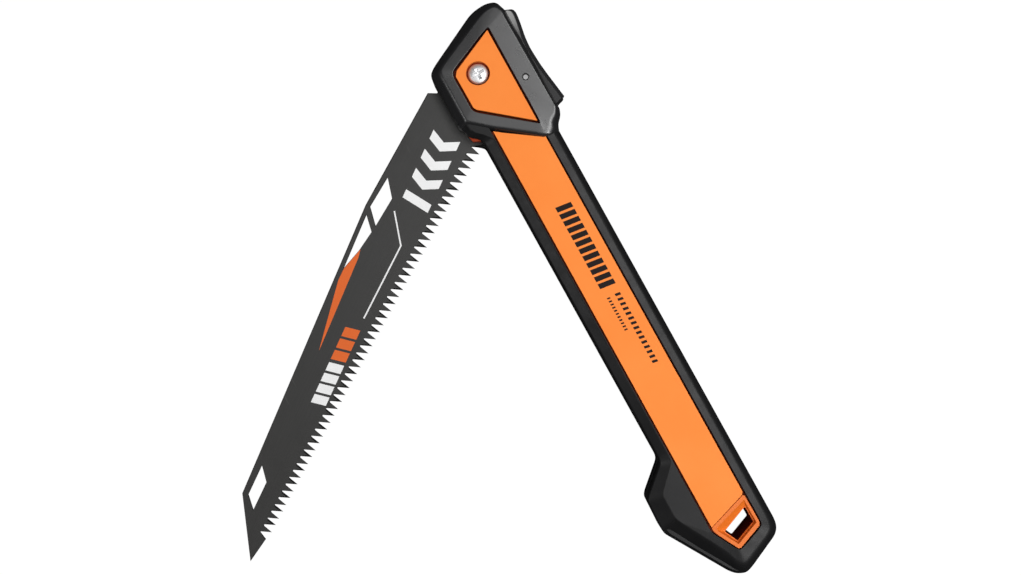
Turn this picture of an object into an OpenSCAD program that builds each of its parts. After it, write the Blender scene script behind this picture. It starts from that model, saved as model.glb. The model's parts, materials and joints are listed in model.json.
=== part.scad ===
// Folding pruning saw.
// Frame: the origin is on the pivot's axis, on the plane that the rear face rests on.
// +X runs along the handle to its butt, +Y to the spine and thumb lever, +Z out of the front face.
// The blade is drawn along +X with its teeth to +Y, then turned to where it rests, half open.

/* [Handle] */
// Distance from the pivot to the butt of the handle
butt_x = 238; // [198:1:286]
// Height of the spine edge of the grip above the pivot
spine_y = 17.7; // [16.5:0.1:20]
// Depth of the belly edge of the grip below the pivot
belly_y = 11.9; // [10:0.1:14]
// Thickness of the handle over the head shields
head_t = 22; // [19:0.5:27]
// Step from the head shield down to the grip, on each side
head_step = 1.5; // [1:0.1:2.5]
// Depth of the grip's sloped edges, on each side
edge_drop = 4.6; // [3:0.1:5.5]
// How far the pommel reaches below the belly edge
pommel_drop = 12.9; // [9:0.1:15]

/* [Core] */
// Width of the slot that the blade folds into
slot_w = 3.2; // [2.6:0.1:4]
// Height of the core's flat body above the middle plane
core_h = 5.2; // [4.2:0.1:5.6]
// Thickness of the black cover around the core's edge
skin = 1.8; // [1.2:0.1:2]
// Depth of the grip window's face below the grip
window_sink = 0.2; // [0.1:0.1:0.6]
// Width of the groove around the head window
groove = 0.4; // [0.2:0.1:0.6]
// Depth of the lanyard tray at the slot
tray_depth = 2.2; // [1:0.1:3]

/* [Blade] */
// Thickness of the blade
blade_t = 1.2; // [0.9:0.1:1.6]
// Clearance between the folded blade's tip and the end of the slot
tip_gap = 1.2; // [0.8:0.1:3]
// Number of teeth
teeth = 55; // [40:1:64]
// Pitch of the first tooth, at the heel
first_pitch = 3.55; // [3:0.05:4.2]
// Depth of the first tooth
first_depth = 4.9; // [3.5:0.1:5.5]
// Depth of the last tooth
last_depth = 4.4; // [3:0.1:5]
// Radius of the tang around the pivot
tang_r = 14.25; // [12:0.05:14.4]
// Angle of the blade from the handle at rest
rest_angle = -53.65; // [-170:0.05:-10]
// Angle of the blade when it is folded away
fold_angle = -2; // [-4:0.1:-1.5]

/* [Pivot and fasteners] */
// Radius of the pivot screw's shank
pivot_r = 2.5; // [2:0.1:3]
// Wall of the bush on the pivot screw
bush_wall = 1.3; // [1:0.1:2]
// Radius of the pivot screw's head
pivot_head_r = 4.3; // [4:0.1:5.2]
// Radius of the thrust washers
washer_r = 9; // [7:0.1:11]
// Radius of the lever pin
lever_pin_r = 1.1; // [0.9:0.05:1.4]
// Radius of the stop pin
stop_pin_r = 1.2; // [1:0.05:1.4]
// Radius of a case screw's shank
screw_r = 1.4; // [1.2:0.05:1.8]
// Number of case screws
screws = 3; // [2:1:3]

/* [Lock lever] */
// Width of the lever's thumb plate
lever_w = 11.6; // [9:0.1:12.5]
// Travel of the lever from the tang's rim to fully pressed
lever_travel = 6; // [4:0.5:6]

/* [Fits] */
// Radial clearance of a turning fit
run_gap = 0.05; // [0.02:0.01:0.09]
// Clearance around a moving piece
move_gap = 0.3; // [0.2:0.05:0.4]

/* [Hidden] */
$fn = 64;

mid = head_t / 2;                 // height of the middle plane
half = head_t / 2;                // the head's half thickness
grip_h = half - head_step;        // the grip's half thickness
window_h = grip_h - window_sink;  // the grip window's half thickness
slot_h = slot_w / 2;
far = 400;                        // longer than any part of the saw
eps = 0.01;

// The head, seen from the front.
head_top = 22.4;
head_bottom = -18.2;
head_front = -23.8;
lever_pin_at = [11, 16.8];
stop_pin_at = [-13.1, 15.3];
shield_outline = [
    [27.6, head_top + 0.5], [-18, head_top], [-22.5, head_top - 1.9], [head_front, 17],
    [head_front + 0.5, 10], [-11.5, -14.5], [-9.5, -17.5], [-7, head_bottom], [17, head_bottom],
    [18.4, -13.6], [23.7, -6.8], [37.7, 11.5], [35.5, spine_y], [31.5, head_top - 0.7],
    [29, head_top + 0.6]];
shield_ridge = [
    [28.6, head_top - 1.3], [-18.5, head_top - 1.3], [-22.1, head_top - 3], [-20, 11],
    [-9.6, -12.5], [-7.5, -14.3], [15.4, -14.3], [16.8, -13], [22, -7], [36, 11.5],
    [33.6, spine_y - 1.6], [30.8, head_top - 2.4]];
shield_edge_h = half - 3.5;
head_window = [[-14, 12.2], [-5.2, -7.3], [-3.3, -8.8], [11.8, -8.7], [13, -8], [29.5, 12.2]];
head_window_h = half - 0.4;

// The grip, its corner beside the shield, and the pommel.
grip_start = 20;
corner_outline = [[14, -5], [14, head_bottom], [20, head_bottom], [22.6, head_bottom + 1],
                  [24.4, -15], [25.6, -belly_y], [26, -5]];
corner_ridge = [[14, -5], [14, -14.3], [18.8, -14.3], [21.4, -12.2], [23.4, -7], [24, -5]];
corner_drop = 2.5;
pommel_x = butt_x - 59.5;         // where the belly turns down into the pommel
butt_outline = [
    [pommel_x, -belly_y], [pommel_x + 11, -belly_y - pommel_drop + 1],
    [pommel_x + 13.5, -belly_y - pommel_drop], [butt_x - 32.5, -belly_y - pommel_drop],
    [butt_x - 30, -belly_y - pommel_drop + 0.8], [butt_x - 3.5, -7.7], [butt_x - 1.3, -5.8],
    [butt_x - 0.1, -2.8], [butt_x - 1, 0], [butt_x - 7.8, spine_y - 2.7],
    [butt_x - 8.9, spine_y - 1.3], [butt_x - 12, spine_y], [pommel_x, spine_y]];
butt_ridge = [
    [pommel_x + 4, -belly_y + 4.9], [pommel_x + 14.8, -belly_y - pommel_drop + 6.8],
    [butt_x - 33, -belly_y - pommel_drop + 6.8], [butt_x - 8, -4.5], [butt_x - 5, -1.5],
    [butt_x - 10, 12.4], [butt_x - 13, spine_y - 4.6], [pommel_x + 4, spine_y - 4.6]];

// The windows that show the core through the grip.
window_top = spine_y - 5.6;
window_bottom = -belly_y + 5.7;
tray_x = butt_x - 29;
panel_outline = [[23, window_bottom], [37, window_top], [tray_x - 0.9, window_top],
                 [tray_x + 0.1, window_top - 0.8], [tray_x + 6, window_bottom - 0.4]];
eyelet_outline = [
    [tray_x + 0.4, window_top - 0.6], [tray_x + 1, window_top], [butt_x - 15.5, window_top + 0.1],
    [butt_x - 14, window_top - 0.7], [butt_x - 9.6, 0.2], [butt_x - 9.8, -0.9],
    [butt_x - 19.5, -6], [butt_x - 21.5, window_bottom - 0.5], [tray_x + 6.2, window_bottom - 0.4]];
tray_rim = [[tray_x + 2.3, window_top - 1.1], [butt_x - 15.8, window_top - 1.1],
            [butt_x - 11.4, 0], [butt_x - 20.3, -4.9], [tray_x + 7.3, -5]];
// The lanyard slot's corners, each the middle of a round of slot_round.
slot_round = 0.5;
lanyard_slot = [[tray_x + 6.3, window_top - 2.5], [butt_x - 16.5, window_top - 2.4],
                [butt_x - 12.9, 0.7], [butt_x - 18.1, -1.8]];
slot_wall = 1.5;
eyelet_gap = 0.05;

// Where the folded blade lies: the blade's own plane turned to the fold angle.
function turned(p, a) = [p[0] * cos(a) - p[1] * sin(a), p[0] * sin(a) + p[1] * cos(a)];

// The blade's outline.
tip_x = butt_x - 7.5 - tip_gap;
heel_tooth = [29.8, 14];
last_tooth = [tip_x - 15.1, 0.8];
tooth_run = last_tooth[0] - heel_tooth[0];
last_pitch = 2 * tooth_run / (teeth - 1) - first_pitch;
tooth_sag = 0.55;
heel_back = [15.2, -16.7];
blade_kink = [69.9, -20.9];
tip_back = [tip_x - 25, -17.4];
function tooth_x(i) = heel_tooth[0] + first_pitch * i
    + (last_pitch - first_pitch) * i * i / (2 * (teeth - 1));
function tooth_y(x) = let (u = (x - heel_tooth[0]) / tooth_run)
    heel_tooth[1] + (last_tooth[1] - heel_tooth[1]) * u - 4 * tooth_sag * u * (1 - u);
function tooth_d(i) = first_depth + (last_depth - first_depth) * i / (teeth - 1);
// Shares of a pitch from a tooth's point to the two sides of the gullet behind it.
gullet = [0.5, 0.66];
tooth_points = [for (i = [0 : teeth - 1], s = [0, gullet[0], gullet[1]])
    let (x = tooth_x(i + s)) [x, tooth_y(x) - (s > 0 ? tooth_d(i) : 0)]];
blade_outline = concat(
    [heel_back, blade_kink, tip_back, [tip_x, -2.4], [tip_x - 11.2, -0.4]],
    [for (i = [len(tooth_points) - 1 : -1 : 0]) tooth_points[i]],
    [[28.2, 9.3], [25.2, 14.3], [24.4, 14.4], [9.2, 10.8], [0, 0], [7.6, -12], [13.6, -13.4]]);
heel_window = [[55.2, -17.6], [62.7, -12.1], [76.3, -13.6], [69.7, -19.2]];
long_window = [[73.6, -19.2], [79.4, -14.1], [88.8, -15.7], [98.5, -18.5]];
tip_window = [[tip_x - 39.4, -15.1], [tip_x - 33.6, -10.3], [tip_x - 20.4, -10.5],
              [tip_x - 25.5, -15.2]];

// The slot in the core follows the folded blade's tooth line.
tooth_gap = 1.3;
slot_end = tip_x + tip_gap;
slot_from = turned(heel_tooth, fold_angle) + [2.6, tooth_gap];
slot_to = turned(last_tooth, fold_angle) + [0, tooth_gap];
web_right = lever_pin_at[0] + 4.4;
lever_floor = lever_pin_at[1] + 1.9;
lever_front = -18.2;
lever_back = 27.4;
heel_roof = 15;
slot_outline = [
    [-far, -far], [-far, 18.3], [lever_front, 18.3], [lever_front, lever_floor + eps],
    [web_right, lever_floor + eps], [web_right, heel_roof], [slot_from[0] - 2, heel_roof],
    slot_from, slot_to, [tip_x - 11, slot_to[1] - 1], [slot_end, -8.2], [slot_end, -far]];

// The core's flat body, inside the black covers.
core_outline = [
    [27.6, head_top - skin + 0.4], [-18, head_top - skin], [-21.4, head_top - skin - 1.4],
    [head_front + skin, 16.6], [head_front + skin + 0.5, 10.4], [-9.8, -13.7], [-8.4, -15.6],
    [-6.6, head_bottom + skin], [20, head_bottom + skin], [23.4, head_bottom + 2.6],
    [26.2, -belly_y + skin],
    [pommel_x + 0.8, -belly_y + skin], [pommel_x + 11.8, -belly_y - pommel_drop + skin + 1],
    [pommel_x + 14, -belly_y - pommel_drop + skin], [butt_x - 32.9, -belly_y - pommel_drop + skin],
    [butt_x - 30.6, -belly_y - pommel_drop + skin + 0.7], [butt_x - 4.4, -6.2],
    [butt_x - 2.4, -3.2], [butt_x - 9.2, spine_y - skin - 1], [butt_x - 12.4, spine_y - skin],
    [34.7, spine_y - skin], [30.7, head_top - skin - 0.4], [28.6, head_top - skin + 0.4]];

// The pivot's stack, each height measured from the middle plane.
bush_r = pivot_r + bush_wall;
recess_r = pivot_head_r + 0.75;
recess_floor = half - 3.6;
spring_washer_t = 0.7;
head_thick = 2.2;
nut_flange = 2.2;
nut_reach = 3.2;                  // length of the nut's barrel below its flange
nut_r = pivot_r + 1.2;
cross_w = 1.1;
cross_len = 5;
cross_deep = 1.5;

// The case screws.
screw_y = window_top - 3.2;
screw_first = 115;
screw_pitch = (tray_x - 6 - screw_first) / 2;
screw_head_r = screw_r + 1.3;
screw_head_t = 1.6;
screw_reach = 5.8;                // how far a screw goes past the middle plane

// The lever.
pocket_floor = 16.4;
channel_h = lever_w / 2 + move_gap;
plate_h = lever_w / 2;
lever_bottom = lever_floor + 0.9;
web_h = slot_h - 0.15;
lever_boss_r = 3.2;
tooth_from = -10.2;
tooth_to = -6.2;
rim_gap = 0.5;                    // between the lever's tooth and the tang's rim, at its corners
lock_drop = 5.5;                  // angle that the lever rocks down to lock the blade
function rim_y(x) = sqrt(pow(tang_r + rim_gap, 2) - x * x);
lever_top = [
    [lever_back - 1.1, 22.9], [lever_back - 2.3, 26.9], [20, 26.4], [14, 25.5], [8, 24.8],
    [0, 24.3], [-5, 24.6], [-10, 25.6], [-14.5, 26.4], [-16, 26], [-17, 24.5], [-17.5, 22.3]];
spring_x = 21.4;
spring_r = 1.9;
spring_wire = 0.3;
spring_turns = 4;
spring_seat = 0.6;

// A piece of the front half, drawn upwards from the middle plane.
module front_half() { translate([0, 0, mid]) children(); }

// The same piece turned over for the rear half.
module rear_half() { translate([0, 0, mid]) mirror([0, 0, 1]) children(); }

// A flat outline given a thickness between two heights.
module layer(outline, low, high) {
    translate([0, 0, low]) linear_extrude(high - low) polygon(outline);
}

// A round hole or pin between two heights.
module round_bar(at, r, low, high) {
    translate([at[0], at[1], low]) cylinder(h = high - low, r = r);
}

// The shield's body: its outline at the edges and a smaller face above.
module shield_block() {
    hull() {
        layer(shield_outline, 0, shield_edge_h);
        layer(shield_ridge, 0, half);
    }
}

// The blade's slot and the lever's channel, opened from the middle plane.
module blade_space() {
    layer(slot_outline, -eps, slot_h);
    lever_space();
}

module lever_space() {
    layer([[lever_front, lever_floor], [web_right + 1, lever_floor],
           [web_right + 1, pocket_floor], [lever_back, pocket_floor], [lever_back, far],
           [lever_front, far]], -eps, channel_h);
}

module core_body() {
    layer(core_outline, 0, core_h);
}

// The slanted hole for a lanyard, with rounded corners.
module lanyard_hole(grow) {
    hull() for (p = lanyard_slot)
        translate([p[0], p[1], -far]) cylinder(h = 2 * far, r = slot_round + grow, $fn = 32);
}

// The recess that slopes down from the eyelet's rim to the slot.
module tray() {
    hull() {
        layer(tray_rim, window_h, window_h + 1);
        for (p = lanyard_slot)
            translate([p[0], p[1], window_h - tray_depth])
                cylinder(h = 1, r = slot_round + 0.3, $fn = 32);
    }
}

// One half of the eyelet: a face in the window and a sleeve through the core.
module eyelet_half() {
    difference() {
        union() {
            layer(eyelet_outline, core_h, window_h);
            intersection() {
                lanyard_hole(slot_wall - eyelet_gap);
                layer(eyelet_outline, 0, core_h + eps);
            }
        }
        tray();
        lanyard_hole(0);
    }
}

module front_eyelet() { color("orange") front_half() eyelet_half(); }

module rear_eyelet() { color("orange") rear_half() eyelet_half(); }

// One half of the orange core, without what differs from front to rear.
module core_half() {
    difference() {
        union() {
            core_body();
            layer(head_window, 0, head_window_h);
            difference() {
                layer(panel_outline, 0, window_h);
                shield_block();
            }
        }
        blade_space();
        lanyard_hole(slot_wall);
        round_bar([0, 0], recess_r, recess_floor, far);
        round_bar([0, 0], nut_r + run_gap, -far, far);
        round_bar(lever_pin_at, lever_pin_r, -far, far);
        round_bar(stop_pin_at, stop_pin_r, -far, core_h - 1);
    }
}

module screw_holes(r, low, high) {
    for (i = [0 : screws - 1])
        round_bar([screw_first + i * screw_pitch, screw_y], r, low, high);
}

module front_core() {
    color("darkorange") front_half() difference() {
        core_half();
        screw_holes(screw_r, -eps, screw_reach);
    }
}

module rear_core() {
    color("darkorange") rear_half() difference() {
        core_half();
        screw_holes(screw_r + run_gap, -far, far);
        screw_holes(screw_head_r + move_gap, window_h - screw_head_t - 0.6, far);
    }
}

module shield_half() {
    difference() {
        shield_block();
        core_body();
        blade_space();
        linear_extrude(far) offset(delta = groove) polygon(head_window);
        round_bar(lever_pin_at, lever_pin_r + 0.4, half - 1.2, far);
        round_bar(lever_pin_at, lever_pin_r, -far, far);
    }
}

module front_shield() { color("dimgray") front_half() shield_half(); }

module rear_shield() { color("dimgray") rear_half() shield_half(); }

// The soft cover: a bar and a pommel with sloped edges, hollow for the core.
module grip_half() {
    difference() {
        union() {
            hull() {
                layer([[grip_start, -belly_y], [pommel_x + 8, -belly_y],
                       [pommel_x + 8, spine_y], [grip_start, spine_y]], 0, grip_h - edge_drop);
                layer([[grip_start, -belly_y], [pommel_x + 8, -belly_y],
                       [pommel_x + 8, spine_y - 2], [grip_start, spine_y - 2]],
                      0, grip_h - edge_drop);
                layer([[grip_start, window_top + 3.3], [pommel_x + 8, window_top + 3.3],
                       [pommel_x + 8, 0], [grip_start, 0]], 0, grip_h - 1.2);
                layer([[grip_start, window_bottom - 0.1], [pommel_x + 8, window_bottom - 0.1],
                       [pommel_x + 8, window_top + 0.3], [grip_start, window_top + 0.3]],
                      0, grip_h);
            }
            hull() {
                layer(butt_outline, 0, grip_h - edge_drop);
                layer(butt_ridge, 0, grip_h);
            }
            hull() {
                layer(corner_outline, 0, grip_h - corner_drop);
                layer(corner_ridge, 0, grip_h);
            }
        }
        shield_block();
        core_body();
        blade_space();
        layer(panel_outline, 0, far);
        layer(eyelet_outline, 0, far);
    }
}

module front_grip() { color("black") front_half() grip_half(); }

module rear_grip() { color("black") rear_half() grip_half(); }

// The blade as it is cut: the outline with its teeth, the tang, its notches and windows.
module blade_blank() {
    difference() {
        union() {
            layer(blade_outline, -blade_t / 2, blade_t / 2);
            round_bar([0, 0], tang_r, -blade_t / 2, blade_t / 2);
        }
        for (w = [heel_window, long_window, tip_window]) layer(w, -blade_t, blade_t);
        round_bar([0, 0], bush_r + run_gap, -blade_t, blade_t);
        for (a = [180, -fold_angle]) rotate(a) lock_notch();
    }
}

// The notch that the lock tooth drops into: the tooth's own shape, swept as the lever rocks.
module lock_notch() {
    for (a = [-lever_travel, 0, lock_drop])
        translate(lever_pin_at) rotate(a) translate(-lever_pin_at) tooth_block(move_gap, blade_t);
}

module blade() {
    color("dimgray") translate([0, 0, mid]) rotate(rest_angle) blade_blank();
}

module cross_recess(top) {
    for (a = [0, 90]) rotate(a) translate([-cross_len / 2, -cross_w / 2, top - cross_deep])
        cube([cross_len, cross_w, cross_deep + 1]);
}

module pivot_screw() {
    low = recess_floor + spring_washer_t;
    color("silver") front_half() difference() {
        union() {
            round_bar([0, 0], pivot_r, -recess_floor - nut_flange + 1.4, low + eps);
            round_bar([0, 0], pivot_head_r, low, low + head_thick);
        }
        cross_recess(low + head_thick);
    }
}

// A cap nut whose face is flush with the plane that the saw rests on.
module pivot_nut() {
    color("silver") rear_half() difference() {
        union() {
            round_bar([0, 0], pivot_head_r, recess_floor, half);
            round_bar([0, 0], nut_r, recess_floor - nut_reach, recess_floor + eps);
        }
        round_bar([0, 0], pivot_r + run_gap, -far, recess_floor + nut_flange - 1.2);
        for (s = [-1, 1]) round_bar([s * pivot_head_r / 2, 0], 0.7, half - 0.9, far);
    }
}

module pivot_bush() {
    color("goldenrod") front_half() difference() {
        round_bar([0, 0], bush_r, -slot_h, slot_h);
        round_bar([0, 0], pivot_r + run_gap, -far, far);
    }
}

// A thrust washer that fills the slot beside the tang.
module thrust_washer() {
    difference() {
        round_bar([0, 0], washer_r, blade_t / 2 + run_gap, slot_h);
        round_bar([0, 0], bush_r + run_gap, -far, far);
    }
}

module front_washer() { color("white") front_half() thrust_washer(); }

module rear_washer() { color("white") rear_half() thrust_washer(); }

module spring_washer() {
    color("gray") front_half() difference() {
        round_bar([0, 0], pivot_head_r, recess_floor, recess_floor + spring_washer_t);
        round_bar([0, 0], pivot_r + 2 * run_gap, -far, far);
    }
}

module lock_lever() {
    color("black") front_half() difference() {
        union() {
            layer(concat(lever_top, [[-17.5, lever_bottom + 0.7], [-11.5, lever_bottom + 0.7],
                  [-11, lever_bottom], [lever_back - 1.1, lever_bottom]]), -plate_h, plate_h);
            layer([[tooth_from - 0.8, lever_bottom + 1], [tooth_from - 0.8, tang_r + 3.35],
                   [tooth_to + 1.2, tang_r + 1], [lever_pin_at[0] - 4, tang_r + 1.15],
                   [lever_pin_at[0], lever_pin_at[1] - lever_boss_r + eps],
                   [lever_pin_at[0] + lever_boss_r - eps, lever_pin_at[1]],
                   [lever_pin_at[0] + lever_boss_r - eps, lever_bottom + 1]], -web_h, web_h);
            round_bar(lever_pin_at, lever_boss_r, -web_h, web_h);
        }
        round_bar(lever_pin_at, lever_pin_r + run_gap, -far, far);
        tooth_block(0, web_h + 1);
        rotate([-90, 0, 0]) translate([spring_x, 0, lever_bottom - 1])
            cylinder(h = 1 + spring_seat, r = spring_r + spring_wire + 0.2);
    }
}

// The lock tooth, cut to stand just off the tang's rim and grown on its free sides.
module tooth_block(grow, h) {
    layer([[tooth_from - grow, lever_bottom - 0.6], [tooth_from - grow, rim_y(tooth_from) - grow],
           [tooth_to + grow, rim_y(tooth_to) - grow], [tooth_to + grow, lever_bottom - 0.6]],
          -h, h);
}

module lock_tooth() { color("silver") front_half() tooth_block(0, web_h); }

module lever_pin() {
    color("silver") front_half()
        round_bar(lever_pin_at, lever_pin_r, -half + 1, half - 1);
}

// A coil: rings of points around a helix that climbs along +Y, joined into one tube.
module lever_spring() {
    sides = 8;
    per_turn = 16;
    low = pocket_floor + spring_wire;
    high = lever_bottom + spring_seat - spring_wire;
    rings = spring_turns * per_turn;
    points = [for (i = [0 : rings], k = [0 : sides - 1])
        let (a = 360 * i / per_turn, b = 360 * k / sides, r = spring_r + spring_wire * cos(b))
        [spring_x + r * cos(a), low + (high - low) * i / rings + spring_wire * sin(b),
         r * sin(a)]];
    walls = [for (i = [0 : rings - 1], k = [0 : sides - 1])
        let (n = (k + 1) % sides)
        [i * sides + k, i * sides + n, (i + 1) * sides + n, (i + 1) * sides + k]];
    color("silver") front_half() polyhedron(points,
        concat(walls, [[for (k = [sides - 1 : -1 : 0]) k],
                       [for (k = [0 : sides - 1]) rings * sides + k]]));
}

module stop_pin() {
    color("silver") front_half() round_bar(stop_pin_at, stop_pin_r, -core_h + 1, core_h - 1);
}

module case_screws() {
    under = window_h - screw_head_t - 0.6;
    color("silver") rear_half() difference() {
        union() {
            screw_holes(screw_r, -screw_reach, under + eps);
            screw_holes(screw_head_r, under, under + screw_head_t);
        }
        for (i = [0 : screws - 1]) translate([screw_first + i * screw_pitch, screw_y, 0])
            for (a = [0, 90]) rotate(a) translate([-1.6, -0.35, under + screw_head_t - 0.9])
                cube([3.2, 0.7, 2]);
    }
}

front_core();
rear_core();
front_shield();
rear_shield();
front_grip();
rear_grip();
blade();
pivot_screw();
pivot_nut();
pivot_bush();
front_washer();
rear_washer();
spring_washer();
lock_lever();
lock_tooth();
lever_pin();
lever_spring();
stop_pin();
case_screws();
front_eyelet();
rear_eyelet();
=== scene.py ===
import json
import math

import bpy
import numpy as np
from mathutils import Matrix, Vector
from mathutils.geometry import tessellate_polygon


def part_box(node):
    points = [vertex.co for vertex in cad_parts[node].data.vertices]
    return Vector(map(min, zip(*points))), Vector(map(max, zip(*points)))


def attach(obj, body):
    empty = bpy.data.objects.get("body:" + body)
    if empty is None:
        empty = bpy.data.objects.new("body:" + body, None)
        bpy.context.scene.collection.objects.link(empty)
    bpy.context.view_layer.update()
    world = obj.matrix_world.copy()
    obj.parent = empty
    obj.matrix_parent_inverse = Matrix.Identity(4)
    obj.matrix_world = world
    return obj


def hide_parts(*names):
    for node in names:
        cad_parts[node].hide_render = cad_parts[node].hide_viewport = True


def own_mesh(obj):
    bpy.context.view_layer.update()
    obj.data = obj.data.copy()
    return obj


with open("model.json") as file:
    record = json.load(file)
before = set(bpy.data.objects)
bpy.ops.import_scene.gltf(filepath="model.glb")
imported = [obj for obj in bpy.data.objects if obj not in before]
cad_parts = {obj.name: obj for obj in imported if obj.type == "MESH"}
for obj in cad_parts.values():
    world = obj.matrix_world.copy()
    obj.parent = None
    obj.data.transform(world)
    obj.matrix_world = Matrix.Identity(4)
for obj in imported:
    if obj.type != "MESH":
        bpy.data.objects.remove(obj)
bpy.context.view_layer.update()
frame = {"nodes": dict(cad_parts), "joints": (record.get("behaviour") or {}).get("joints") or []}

nodes = frame["nodes"]
joints = {joint["name"]: joint for joint in frame["joints"]}

# The studio: a pale table under four soft lamps, with the camera straight above the saw.
# The table and the air around it look white but throw little light back, so that the dark
# plastic keeps its shading.
mm = 0.001
middle = joints["blade_fold"]["pos_m"][2] / mm   # the handle's middle plane
half = middle                                    # half the head's thickness
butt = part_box("front_grip")[1][0] / mm           # the far end of the handle
handle_angle = math.radians(61.0)                # how far the handle leans in the view
view_centre = (85.4, -31.7)
view_height = 500 + 2 * half

camera_data = bpy.data.cameras.new("camera")
camera_data.sensor_width = 36
camera_data.lens = 41.98
camera_data.clip_start = 0.01
camera = bpy.data.objects.new("camera", camera_data)
bpy.context.scene.collection.objects.link(camera)
right = Vector((math.cos(handle_angle), math.sin(handle_angle), 0))
up = Vector((-math.sin(handle_angle), math.cos(handle_angle), 0))
turn = Matrix((right, up, Vector((0, 0, 1)))).transposed()
camera.matrix_world = Matrix.Translation(
    Vector((view_centre[0], view_centre[1], view_height)) * mm) @ turn.to_4x4()
bpy.context.scene.camera = camera
bpy.context.scene.view_settings.view_transform = "Standard"


def soft_lamp(name, place, aim, size, power):
    """A square lamp of `size` metres at `place` that faces `aim`, both in millimetres."""
    data = bpy.data.lights.new(name, "AREA")
    data.shape = "RECTANGLE"
    data.size, data.size_y = size
    data.energy = power
    lamp = bpy.data.objects.new(name, data)
    bpy.context.scene.collection.objects.link(lamp)
    lamp.location = Vector(place) * mm
    lamp.rotation_euler = (Vector(aim) - Vector(place)).to_track_quat("-Z", "Y").to_euler()


soft_lamp("lamp_above", (110, 150, 760), (110, 0, 0), (0.9, 0.8), 2.95)
soft_lamp("lamp_spine_side", (160, 380, 800), (20, 0, 0), (0.7, 0.26), 3.2)
soft_lamp("lamp_belly_side", (30, -640, 700), (180, -20, 0), (0.3, 0.1), 0.9)
soft_lamp("lamp_butt_side", (680, 150, 800), (235, 10, 0), (0.14, 0.26), 2.7)


def glowing(tree, seen, thrown):
    """An emission of `seen` strength to the eye and of `thrown` strength to everything else."""
    eye = tree.nodes.new("ShaderNodeLightPath")
    pick = tree.nodes.new("ShaderNodeMapRange")
    pick.inputs["To Min"].default_value = thrown
    pick.inputs["To Max"].default_value = seen
    tree.links.new(eye.outputs["Is Camera Ray"], pick.inputs["Value"])
    return pick.outputs["Result"]


world = bpy.data.worlds.new("studio_air")
bpy.context.scene.world = world
world.use_nodes = True
air = world.node_tree.nodes["Background"]
air.inputs["Color"].default_value = (1, 1, 1, 1)
world.node_tree.links.new(glowing(world.node_tree, 1.0, 0.03), air.inputs["Strength"])

table_paint = bpy.data.materials.new("table_paint")
table_paint.use_nodes = True
paint = table_paint.node_tree.nodes["Principled BSDF"]
paint.inputs["Base Color"].default_value = (0.03, 0.03, 0.03, 1)
paint.inputs["Roughness"].default_value = 0.9
paint.inputs["Specular IOR Level"].default_value = 0.1
paint.inputs["Emission Color"].default_value = (1, 1, 1, 1)
table_paint.node_tree.links.new(glowing(table_paint.node_tree, 1.0, 0.0),
                                paint.inputs["Emission Strength"])
table_mesh = bpy.data.meshes.new("table")
table_edge, table_drop = 6.0, 0.0002      # half its width and its gap under the saw, in metres
table_mesh.from_pydata([(x * table_edge, y * table_edge, -table_drop)
                        for x, y in ((-1, -1), (1, -1), (1, 1), (-1, 1))], [], [(0, 1, 2, 3)])
table = bpy.data.objects.new("table", table_mesh)
bpy.context.scene.collection.objects.link(table)
table_mesh.materials.append(table_paint)


# The two head shields: hard black plastic with a fine spark-eroded grain, moulded as bevelled
# plates with a skirt around the core's edge and a window for the orange core. Each half of the
# handle has one, held by the lever pin and the pivot screw.
def soften(net, radius, steps, closed=True):
    """A control net rounded along its first axis.

    Each corner c becomes the curve (1-t)^2 a + 2t(1-t) c + t^2 b, where a and b lie on its two
    sides at `radius` from it, or at 45% of a shorter side. An open net keeps its two ends.
    """
    longest_share = 0.45
    net = np.asarray(net, float)
    reach = np.asarray(radius, float)
    reach = np.broadcast_to(reach.reshape(reach.shape + (1,) * (net.ndim - 1 - reach.ndim)),
                            net.shape[:-1])[..., None]
    ends = []
    for side in (np.roll(net, 1, 0) - net, np.roll(net, -1, 0) - net):
        length = np.maximum(np.linalg.norm(side, axis=-1, keepdims=True), 1e-6)
        ends.append((net + side * np.minimum(reach / length, longest_share))[:, None])
    t = np.linspace(0, 1, steps).reshape((1, steps) + (1,) * (net.ndim - 1))
    curve = (1 - t) ** 2 * ends[0] + 2 * t * (1 - t) * net[:, None] + t ** 2 * ends[1]
    if closed:
        return curve.reshape((-1,) + net.shape[1:])
    inner = curve[1:-1].reshape((-1,) + net.shape[1:])
    return np.concatenate([net[:1], inner, net[-1:]])


def grid_faces(rows, columns, round_rows, round_columns):
    """Four-cornered faces between the neighbours of a grid, closed around where it wraps."""
    i = np.arange(rows if round_rows else rows - 1)
    j = np.arange(columns if round_columns else columns - 1)
    i, j = [a.ravel() for a in np.meshgrid(i, j, indexing="ij")]
    k, m = (i + 1) % rows, (j + 1) % columns
    return np.stack([i * columns + j, i * columns + m, k * columns + m, k * columns + j], 1)


def new_piece(name, points, faces, material, body, smooth=True):
    """A mesh from points in millimetres, its faces turned to point outwards, riding on a body.

    The sign of the enclosed volume, the sum of corner . (corner x corner) over the faces'
    triangles, tells which way the faces point.
    """
    points = np.asarray(points, float).reshape(-1, 3)
    volume = 0.0
    for width in {len(face) for face in faces}:
        ring = points[np.array([face for face in faces if len(face) == width])]
        fan = np.cross(ring[:, 1:-1], ring[:, 2:])
        volume += float((ring[:, :1] * fan).sum())
    if volume < 0:
        faces = [tuple(face)[::-1] for face in faces]
    mesh = bpy.data.meshes.new(name)
    mesh.from_pydata((points * mm).tolist(), [], [tuple(int(v) for v in face) for face in faces])
    mesh.materials.append(material)
    mesh.validate()
    piece = bpy.data.objects.new(name, mesh)
    bpy.context.scene.collection.objects.link(piece)
    if smooth:
        shade_round(piece)
    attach(piece, body)
    return piece


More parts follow.
